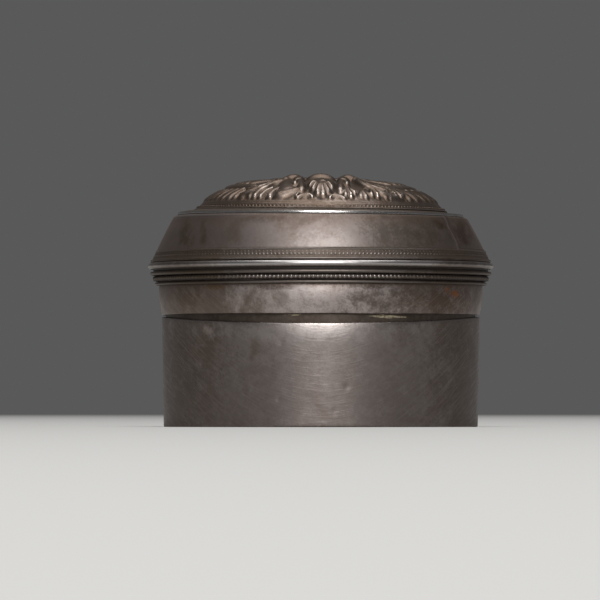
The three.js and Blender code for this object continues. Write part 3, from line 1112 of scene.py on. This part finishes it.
# On the right a long stem leaves the curl, with petals above it and small fans below.
finger([(7, 14.2), (7.9, 16.2), (9.4, 17.9), (12, 18.7), (14.6, 18.1), (16.6, 17.4)], 1, 0.45, 1.15)
finger([(8.9, 14.9), (11.2, 16), (13.8, 15.9), (16.6, 14.8)], 0.75, 0.5, 0.6, groove=0.14)
finger([(9.8, 14.2), (12.6, 14.2), (15.6, 12.8)], 0.8, 0.5, 0.42, groove=0.14)
small_fans = (
    (15.3, 19.6, 23, 2.5, 0.85), (22.9, 20.6, 23.2, 2.1, 0.62),
    (29.4, 20.2, 22.9, 2.8, 0.95), (37, 21, 23.2, 2.6, 0.8), (44.4, 20.4, 23.1, 2.6, 0.8),
)
for degrees, top, reach, spread, high in small_fans:
    for k in (-1, 0, 1):
        foot = (reach - 0.5 * abs(k) - 0.2 * k, degrees + spread * k)
        places = (top, degrees + 1.8), (top + 1.3, degrees + spread * 0.5 * k), foot
        spoke(places, 0.3, 0.55 - 0.08 * k, high * (1 - 0.18 * abs(k)))
right_lobes = (
    (50.5, 0.8, 0.5), (57, 1.15, 0.42), (65, 1.1, 0.38),
    (72.5, 1.1, 0.42), (80.5, 1.1, 0.36), (88.5, 1, 0.34),
)
for degrees, wide, high in right_lobes:
    spoke([(20.3, degrees - 7), (21.6, degrees - 2), (23.3, degrees)], 0.5, wide, high, 0.5, 0.1)

# On the left a broad smooth petal hangs from the curl, and a wavy stem runs behind it.
finger([(-6, 13.6), (-6.9, 16.4), (-7, 18.6), (-6.9, 20.5)], 1.1, 1.8, 0.92, 0.5)
finger([(-8.4, 21.4), (-6.8, 21.5), (-5.1, 21.2)], 1.05, 0.75, 0.98, 0.5)
finger([(-3.9, 20.9), (-4.5, 21.8), (-5, 22.7)], 0.2, 0.32, 0.5)
finger([(-7.8, 15.4), (-9.6, 15.9), (-11.6, 17.5), (-13.6, 17.8), (-16.2, 16.4)], 0.85, 0.45, 1)
finger([(-8.6, 13.4), (-10.6, 14.2), (-12.4, 15.2), (-14.6, 14.6)], 0.8, 0.5, 0.62, groove=0.14)
left_lobes = (
    (23, 0.62, 0.8), (26.4, 0.72, 0.85), (31.6, 0.55, 0.6), (35, 0.62, 0.75), (38.2, 0.5, 0.55),
    (43.2, 1, 0.5), (48.6, 0.6, 0.38), (53, 0.75, 0.38), (59.2, 0.8, 0.28), (65.5, 0.85, 0.3),
    (71.5, 0.7, 0.24), (77, 0.8, 0.26), (84, 0.85, 0.3), (90.5, 0.75, 0.26),
)
for degrees, wide, high in left_lobes:
    spoke([(20.2, 3 - degrees), (21.6, 1 - degrees), (23.1, -degrees)], 0.36, wide, high, groove=0.08)

# The flower in the middle, ringed with leaves.
for k in range(8):
    boss(polar(3.7, 45 * k + 22.5), 1.05, 1.05, 0.42)
for k in range(16):
    degrees = 22.5 * k
    spoke([(5.2, degrees), (7.4, degrees + 4), (9.4, degrees + 3)], 0.35, 1.15, 0.45)
boss((0, 0), 1.9, 1.9, 0.5)


def uneven(u, v, size, seed):
    """A smooth noise over the plate, mostly between -1 and 1."""
    random = np.random.default_rng(seed)
    total = np.zeros_like(u)
    for _ in range(14):
        way, start = random.uniform(0, tau, 2)
        along = u * cos(way) + v * sin(way)
        total += np.sin(along * tau / size * random.uniform(0.7, 1.4) + start)
    return total / 3


def blurred(field, times):
    """The field softened a little, as worn metal is."""
    for _ in range(times):
        wide = np.pad(field, 1, "edge")
        ring = wide[:-2, 1:-1] + wide[2:, 1:-1] + wide[1:-1, :-2] + wide[1:-1, 2:]
        field = (ring + 4 * field) / 8
    return field


overlap = 2 * round(relief_back / relief_pitch) + 1
for field in (raised, chased):
    field[:overlap] = np.maximum(field[:overlap], field[:overlap][::-1, ::-1])
relief = blurred(raised - chased * (raised < 0.05), 6)

# Fine veins run along the leaves, away from the knob, and fade in and out.
vein_count = 150
vein_swirl = 0.035
vein_height = 0.06
u, v = np.meshgrid(across, outward)
from_middle, from_front = np.hypot(u, v), np.abs(np.arctan2(u, v))
vein_phase = vein_count * (from_front - vein_swirl * from_middle) + 2.0 * uneven(u, v, 5.0, 3)
on_leaves = unit((relief - 0.08) / 0.15) * unit((from_front - 0.42) / 0.1)
on_leaves *= unit((from_middle - 9) / 3) * unit(0.55 + uneven(u, v, 3.2, 5))
relief = blurred(relief + vein_height * np.cos(vein_phase) * on_leaves, 4)
# Sunk is above 0 in the hollows, which take dark patina, and below 0 on the high spots, which are rubbed
# bright with a painted highlight.
sunk = (blurred(relief, 60) - relief) * 2.0 + (blurred(relief, 12) - relief) * 6
sunk = np.clip(sunk + 0.12, -1, 1)


def sample(field, x, y):
    """The field at places on the plate, whose back half is the front half turned round."""
    turn_round = np.where(y > 0, -1.0, 1.0)
    a = np.clip((x * turn_round + relief_reach) / relief_pitch, 0, len(across) - 1.001)
    b = np.clip((relief_back - y * turn_round) / relief_pitch, 0, len(outward) - 1.001)
    i, j = b.astype(int), a.astype(int)
    p, q = b - i, a - j
    near_row, far_row = (field[k, j] * (1 - q) + field[k, j + 1] * q for k in (i, i + 1))
    return near_row * (1 - p) + far_row * p


def dome_surface(r, angle, depth=0.0, soft=1.0):
    """Height of the plate and the dirt, patina and painted highlights on it, at a radius and an angle."""
    x, y = r * np.sin(angle), -r * np.cos(angle)
    wx = x + 0.12 * np.sin(y * 0.61 + 1.3) * np.sin(x * 0.37)
    wy = y + 0.12 * np.sin(x * 0.53 + 0.4)
    inside = unit((dome_radius - 0.72 - r) / 0.25)
    ridges = np.zeros_like(r)
    for inset in (0.62, 0.18):
        ridges = ridges + 0.11 * bell(r - dome_radius + inset, 0.1)
    share = r / dome_radius
    drop = dome_round * share**4 + (1 - dome_round) * share**16
    crown = dome_foot + dome_crown - (dome_crown - dome_rim) * drop
    height = crown + inside * sample(relief, wx, wy) * soft + ridges * soft - depth
    height = tipped(r, height, angle)
    dirt_and_light = inside * sample(sunk, wx, wy) + (1 - inside) * 0.35 * (ridges < 0.03)
    return height, dirt_and_light


def ring_of(radius, spacing, surface):
    count = max(6, round(tau * radius / spacing))
    angle = even_turn(count)
    z, dirt_and_light = surface(np.full(count, radius), angle)
    z, dirt_and_light = np.broadcast_to(z, count), np.broadcast_to(dirt_and_light, count)
    return np.stack([radius * np.sin(angle), -radius * np.cos(angle), z, dirt_and_light], -1)


outer_spacing = 0.148
inner_spacing = 0.5
pole = np.zeros(1)
top_pole = np.array([[0, 0, dome_surface(pole, pole)[0][0], 0]])
under_pole = np.array([[0, 0, dome_surface(pole, pole, dome_sheet, 0.8)[0][0], 0.5]])
outer_rings = [
    ring_of(r, outer_spacing, dome_surface)
    for r in np.linspace(0, dome_radius, round(dome_radius / outer_spacing * 1.02))[1:]
]
under_edge = dome_radius - dome_sheet
under_rings = [
    ring_of(r, inner_spacing, lambda r, a: (dome_surface(r, a, dome_sheet * 1.15, 0.8)[0], 0.5))
    for r in np.linspace(under_edge, 0, round(under_edge / inner_spacing))[:-1]
]
foot_rings = [
    ring_of(radius, spacing, lambda r, a: (tipped(r, dome_foot, a), 0.7))
    for radius, spacing in ((dome_radius, 0.3), (under_edge, 0.4))
]
dome_plate = zipped("dome_plate_silver", [top_pole, *outer_rings, *foot_rings, *under_rings, under_pole])
dome_plate.data.set_sharp_from_angle(angle=radians(70))
dress(dome_plate, chased_silver, "lid", "chased_silver", "dome_plate")
